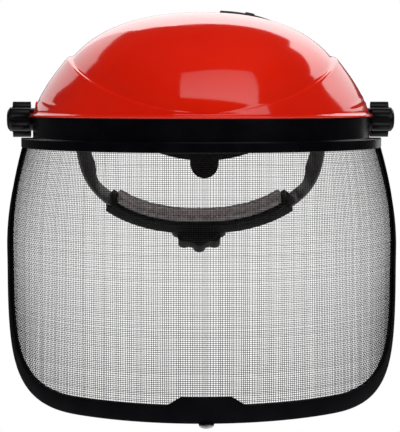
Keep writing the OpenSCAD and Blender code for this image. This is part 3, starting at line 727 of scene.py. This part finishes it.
def refined(name, bevel, flat=1.0, sharp_angle=35):
    """A copy of a CAD node with its flat facets joined and its sharp edges broken by a small round."""
    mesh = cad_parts[name].data.copy()
    form = bmesh.new()
    form.from_mesh(mesh)
    bmesh.ops.remove_doubles(form, verts=form.verts, dist=2e-6)
    bmesh.ops.dissolve_limit(form, angle_limit=math.radians(flat), verts=form.verts, edges=form.edges)
    form.to_mesh(mesh)
    form.free()
    piece = bpy.data.objects.new(name + "_fine", mesh)
    scene.collection.objects.link(piece)
    edge = piece.modifiers.new("edges", "BEVEL")
    edge.width, edge.segments, edge.limit_method = bevel * MM, 2, "ANGLE"
    edge.angle_limit = math.radians(sharp_angle)
    edge.use_clamp_overlap = True
    edge.miter_outer = "MITER_ARC"
    applied(piece)
    shade(piece, sharp_angle)
    return piece


HARD = [
    ("pivot_bushes", 0.25, "pivot_black", "visor"),
    ("screen_clamp_strip", 0.3, "carrier_black", "visor"),
    ("clamp_rivets", 0.2, "carrier_black", "visor"),
    ("chin_stud", 0.2, "stud_steel", "visor"),
    ("forehead_band", 0.45, "band_black", "headband"),
    ("brow_stud", 0.3, "band_black", "headband"),
    ("crown_strap_left", 0.4, "strap_black", "headband"),
    ("crown_strap_right", 0.4, "strap_black", "headband"),
    ("crown_peg", 0.2, "strap_black", "headband"),
    ("pivot_arm_left", 0.35, "pivot_black", "headband"),
    ("pivot_arm_right", 0.35, "pivot_black", "headband"),
    ("pivot_bolt_left", 0.2, "bolt_steel", "headband"),
    ("pivot_bolt_right", 0.2, "bolt_steel", "headband"),
    ("friction_washers", 0.15, "washer_grey", "headband"),
    ("knob_washers", 0.15, "bolt_steel", "headband"),
    ("tilt_knob_left", 0.5, "knob_black", "left_tilt_knob"),
    ("tilt_knob_right", 0.5, "knob_black", "right_tilt_knob"),
    ("knob_insert_left", 0.15, "insert_brass", "left_tilt_knob"),
    ("knob_insert_right", 0.15, "insert_brass", "right_tilt_knob"),
    ("sleeve_inner", 0.35, "sleeve_black", "nape_sleeve"),
    ("sleeve_outer", 0.45, "sleeve_black", "nape_sleeve"),
    ("detent_ring", 0.15, "sleeve_black", "nape_sleeve"),
    ("ratchet_knob", 0.5, "knob_black", "size_knob"),
    ("detent_spring", 0.12, "bolt_steel", "size_knob"),
    ("rack_pinion", 0.12, "pinion_acetal", "size_knob"),
    ("ratchet_screw", 0.15, "bolt_steel", "size_knob"),
]


def hard_pieces():
    for name, bevel, slot, body in HARD:
        dress(refined(name, bevel), MATERIALS[slot], slot, body, name)


def nape_straps():
    """The straps, on no body, with their place put into their points. On the headband they flex between their
    eyes, which stay on the pivots, and the sleeve, which slides.
    """
    for name in ("nape_strap_left", "nape_strap_right"):
        piece = refined(name, 0.35)
        dress(piece, MATERIALS["strap_black"], "strap_black", None, name)
        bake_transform(piece)


# ---------- pads ----------


def swollen(piece, held, cap, voxel=1.15, frames=20):
    """Remeshes a pad, blows it up a little as stuffed cloth and subdivides it. Points that held() picks
    stay, and no point moves further than cap."""
    remesh = piece.modifiers.new("voxels", "REMESH")
    remesh.mode, remesh.voxel_size = "VOXEL", voxel * MM
    applied(piece)
    start = np.array([v.co for v in piece.data.vertices])
    group = piece.vertex_groups.new(name="held")
    group.add([v.index for v in piece.data.vertices if held(v.co / MM)], 1.0, "REPLACE")
    cloth = piece.modifiers.new("cloth", "CLOTH")
    cloth.settings.use_pressure = True
    cloth.settings.uniform_pressure_force = 4
    cloth.settings.effector_weights.gravity = 0
    cloth.settings.vertex_group_mass = "held"
    cloth.point_cache.frame_end = frames
    for step in range(1, frames + 1):
        scene.frame_set(step)
    applied(piece)
    scene.frame_set(1)
    moved = np.array([v.co for v in piece.data.vertices]) - start
    size = np.linalg.norm(moved, axis=1, keepdims=True)
    moved *= np.minimum(1, cap * MM / np.maximum(size, 1e-9))
    piece.data.vertices.foreach_set("co", (start + moved).astype(np.float32).ravel())
    finer = piece.modifiers.new("finer", "SUBSURF")
    finer.levels = finer.render_levels = 1
    applied(piece)
    piece.vertex_groups.clear()


def stitch(points, faces, centre, along, out):
    """Adds one stitch, a short rounded thread that lies along the cloth."""
    side = along.cross(out).normalized()
    base, around = len(points), 6
    rings = ((-0.5, 0.35), (-0.3, 1.0), (0.3, 1.0), (0.5, 0.35))
    for at, size in rings:
        for k in range(around):
            turn = 360 * k / around
            way = side * cosd(turn) + out * sind(turn)
            points.append(centre + along * at * STITCH_L + way * STITCH_R * size)
    faces += [(base + j * around + k, base + j * around + (k + 1) % around,
               base + (j + 1) * around + (k + 1) % around, base + (j + 1) * around + k)
              for j in range(len(rings) - 1) for k in range(around)]
    faces += [tuple(base + k for k in range(around)),
              tuple(base + (len(rings) - 1) * around + k for k in range(around))]


def gap_behind(p, back):
    """How far a point lies in front of the oval backing with the given half width and depth."""
    share = ((abs(p.x) / back[0]) ** OVAL_POWER + (abs(p.y) / back[1]) ** OVAL_POWER) ** (1 / OVAL_POWER)
    return math.hypot(p.x, p.y) * (1 / share - 1)


def quilt(piece, back, turn, rows, lines, tuck):
    """Presses channels into the cloth along rows and lines, and draws its lower half up by tuck."""
    level = turn.inverted()
    for v in piece.data.vertices:
        p = level @ (v.co / MM)
        p.z *= tuck if p.z < 0 else 1
        phi = abs(math.degrees(math.atan2(p.x, -p.y)))
        reach = math.hypot(p.x, p.y)
        across = min(abs(phi - line) for line in lines) * math.radians(1) * reach
        up = min(abs(p.z - row) for row in rows)
        near = max(math.exp(-((across / CHANNEL_ACROSS) ** 2)), math.exp(-((up / CHANNEL_UP) ** 2)))
        dent = CHANNEL_DEPTH * near
        way = Vector((p.x, p.y, 0)) / reach
        v.co = (turn @ (p + way * dent * smooth((gap_behind(p, back) - 1.2) / 1.6))) * MM


def stitches(name, piece, turn, rows, span):
    """Threads that lie on the cloth along each row, over a span of angles on both sides."""
    tree = BVHTree.FromPolygons([v.co / MM for v in piece.data.vertices],
                                [f.vertices for f in piece.data.polygons])
    points, faces = [], []
    count = int((span[1] - span[0]) / STITCH_TURN)
    for row in rows:
        for side in (-1, 1):
            for k in range(count + 1):
                phi = side * mix(*span, k / count)
                if side == 1 and abs(phi) in (0, 180):
                    continue  # the stitch in the middle is there already
                way = Vector((sind(phi), -cosd(phi), 0))
                out = (turn.to_3x3() @ -way).normalized()
                hit, normal, _, _ = tree.ray_cast(turn @ (way * 60 + Vector((0, 0, row))), -out)
                if hit:
                    along = (turn.to_3x3() @ Vector((way.y, -way.x, 0))).normalized()
                    along = (along - normal * along.dot(normal)).normalized()
                    stitch(points, faces, hit + normal * 0.05, along, normal)
    return solid(name, points, faces)


def sewn_pad(node_name, body, back, turn, rows, lines, span, tuck=1.0):
    """A pad puffed up from its backing, with channels pressed along rows (heights) and lines (angles).

    back is the half width and depth of the oval behind it, turn takes it from level to its place, span is the
    range of angles, on each side, that the rows of stitches cover, and tuck is how much of its lower half is
    left once the cloth is drawn up at its lower edge."""
    level = turn.inverted()
    piece = bpy.data.objects.new(node_name + "_cloth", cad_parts[node_name].data.copy())
    scene.collection.objects.link(piece)
    swollen(piece, lambda v: gap_behind(level @ v, back) < HELD_GAP, PUFF)
    quilt(piece, back, turn, rows, lines, tuck)
    shade(piece, 80)
    dress(piece, MATERIALS["pad_foam"], "pad_foam", body, node_name)
    thread = stitches(node_name + "_stitches", piece, turn, rows, span)
    shade(thread)
    dress(thread, MATERIALS["thread"], "pad_foam", body)


def pads():
    flat = Matrix.Identity(4)
    droop = Matrix.Rotation(math.radians(-NAPE_DROOP), 4, "X")
    inside = BAND_T + 0.3
    sewn_pad("brow_pad", "headband", (BAND_HALF_W - inside, BAND_DEPTH - inside), flat,
             (-7.8, 7.8), (0, 14, 28, 42, 56, 70), (1, 72))
    sewn_pad("nape_pad", "nape_sleeve", (NAPE_HALF_W + NAPE_PAD_T, NAPE_DEPTH + NAPE_PAD_T), droop,
             (-2.6, 5.4), (148, 158, 169, 180), (143, 180), 0.6)


# ---------- light, floor and camera ----------


WALL_Y = 1.2
FLOOR_Z, FLOOR_R = -0.5, 1.1


def panel(name, corners, low, high=None, glossy=True):
    """A glowing sheet that the camera looks through, with corners in metres.

    Its radiance is low at its foot and high at its top, or low all over. Without glossy it fills the shadows
    but isn't mirrored in anything."""
    mesh = bpy.data.meshes.new(name)
    mesh.from_pydata(corners, [], [tuple(range(len(corners)))])
    glow, shader, place = start_material(name, Emission_Strength=low)
    shader.inputs["Emission Color"].default_value = (1, 1, 1, 1)
    shader.inputs["Base Color"].default_value = (0, 0, 0, 1)
    if high:
        heights = [corner[2] for corner in corners]
        height = node(glow, "ShaderNodeSeparateXYZ", Vector=place).outputs["Z"]
        fade = node(glow, "ShaderNodeMapRange", Value=height, From_Min=min(heights), From_Max=max(heights),
                    To_Min=low, To_Max=high)
        drive(glow, shader, Emission_Strength=fade.outputs["Result"])
    mesh.materials.append(glow)
    sheet = bpy.data.objects.new(name, mesh)
    sheet.visible_camera = False
    sheet.visible_glossy = glossy
    scene.collection.objects.link(sheet)


def wall(name, outline, low, high=None):
    """A panel that stands behind the guard, from (x, z) pairs, for the guard's edges to mirror."""
    panel(name, [(x, WALL_Y, z) for x, z in outline], low, high)


def surroundings():
    """White where the camera looks past the object, and dim in everything that mirrors or is lit."""
    world = bpy.data.worlds.new("studio")
    world.use_nodes = True
    scene.world = world
    tree = world.node_tree
    tree.nodes.clear()
    out = tree.nodes.new("ShaderNodeOutputWorld")
    blend = tree.nodes.new("ShaderNodeMixShader")
    dim, white = tree.nodes.new("ShaderNodeBackground"), tree.nodes.new("ShaderNodeBackground")
    dim.inputs["Color"].default_value = (0.04, 0.04, 0.04, 1)
    white.inputs["Color"].default_value = (1, 1, 1, 1)
    seen = tree.nodes.new("ShaderNodeLightPath").outputs["Is Camera Ray"]
    tree.links.new(seen, blend.inputs["Fac"])
    tree.links.new(dim.outputs[0], blend.inputs[1])
    tree.links.new(white.outputs[0], blend.inputs[2])
    tree.links.new(blend.outputs[0], out.inputs["Surface"])


def lights():
    """A bright wall behind, a key over the front, and fills on three sides that nothing mirrors."""
    wall("left_wall", [(-0.42, 0.08), (-0.62, 0.13), (-1.1, 0.36), (-1.13, 0.48), (-1.3, 0.62), (-1.6, 0.86),
                       (-1.5, 1.15), (-1.08, 1.11), (-0.84, 1.08), (-0.42, 0.9)], 0.85, 1.5)
    wall("top_wall", [(-0.42, 0.08), (-0.42, 1.05), (-0.18, 1.29), (0.12, 1.23), (0.44, 1.11), (0.75, 1.05),
                      (0.75, 0.22), (-0.2, 0.22)], 0.9, 3.0)
    wall("right_wall", [(0.75, 1.05), (1.14, 1.45), (1.4, 1.27), (2.03, 1.23), (2.6, 1.25), (2.3, 1.0),
                        (1.85, 0.68), (1.4, 0.42), (0.38, 0.07), (0.75, 0.22)], 0.9, 3.0)
    panel("front_key", [(-0.46, -0.83, 1.38), (0.92, -0.55, 1.28), (1.28, -1.1, 0.26), (-0.58, -1.35, 0.6)],
          2.2, 0.9)
    wall("right_glow", [(0.43, -0.25), (0.9, -0.25), (0.9, 0.02), (0.43, 0.02)], 0.6)
    panel("sky", [(-1.5, -1.6, 1.5), (1.5, -1.6, 1.5), (1.5, 0.6, 1.9), (-1.5, 0.6, 1.9)], 1.1, glossy=False)
    panel("left_fill", [(-1.8, 0.2, -0.4), (-1.8, 0.2, 1.2), (-1.0, -1.8, 1.2), (-1.0, -1.8, -0.4)],
          0.65, glossy=False)
    panel("right_fill", [(1.0, -1.8, -0.4), (1.0, -1.8, 1.2), (1.8, 0.2, 1.2), (1.8, 0.2, -0.4)],
          0.5, glossy=False)


def pale_floor():
    around = 96
    turns = [360 * k / around for k in range(around)]
    mesh = bpy.data.meshes.new("floor")
    mesh.from_pydata([(FLOOR_R * cosd(turn), FLOOR_R * sind(turn), FLOOR_Z) for turn in turns],
                     [], [tuple(range(around))])
    pale, shader, place = start_material("floor", Roughness=0.9, Emission_Strength=0.45)
    shader.inputs["Emission Color"].default_value = (1, 1, 1, 1)
    drive(pale, shader, Base_Color=mottle(pale, place, 3, (0.84, 0.84, 0.84), (0.88, 0.88, 0.88)))
    mesh.materials.append(pale)
    floor = bpy.data.objects.new("floor", mesh)
    scene.collection.objects.link(floor)


def camera():
    """A long lens just above the brow, a little to the left of the middle."""
    data = bpy.data.cameras.new("camera")
    data.sensor_width, data.lens, data.shift_x = 36, 124.3, -0.0023
    eye = bpy.data.objects.new("camera", data)
    eye.location = (-0.024, -1.057, 0.0127)
    eye.rotation_euler = (math.radians(85.6), 0, math.radians(-1.3))
    scene.collection.objects.link(eye)
    scene.camera = eye
    scene.view_settings.view_transform = "Standard"


camera()
surroundings()
lights()
pale_floor()
brow_guard()
visor_carrier()
woven_screen()
trims()
hard_pieces()
nape_straps()
pads()
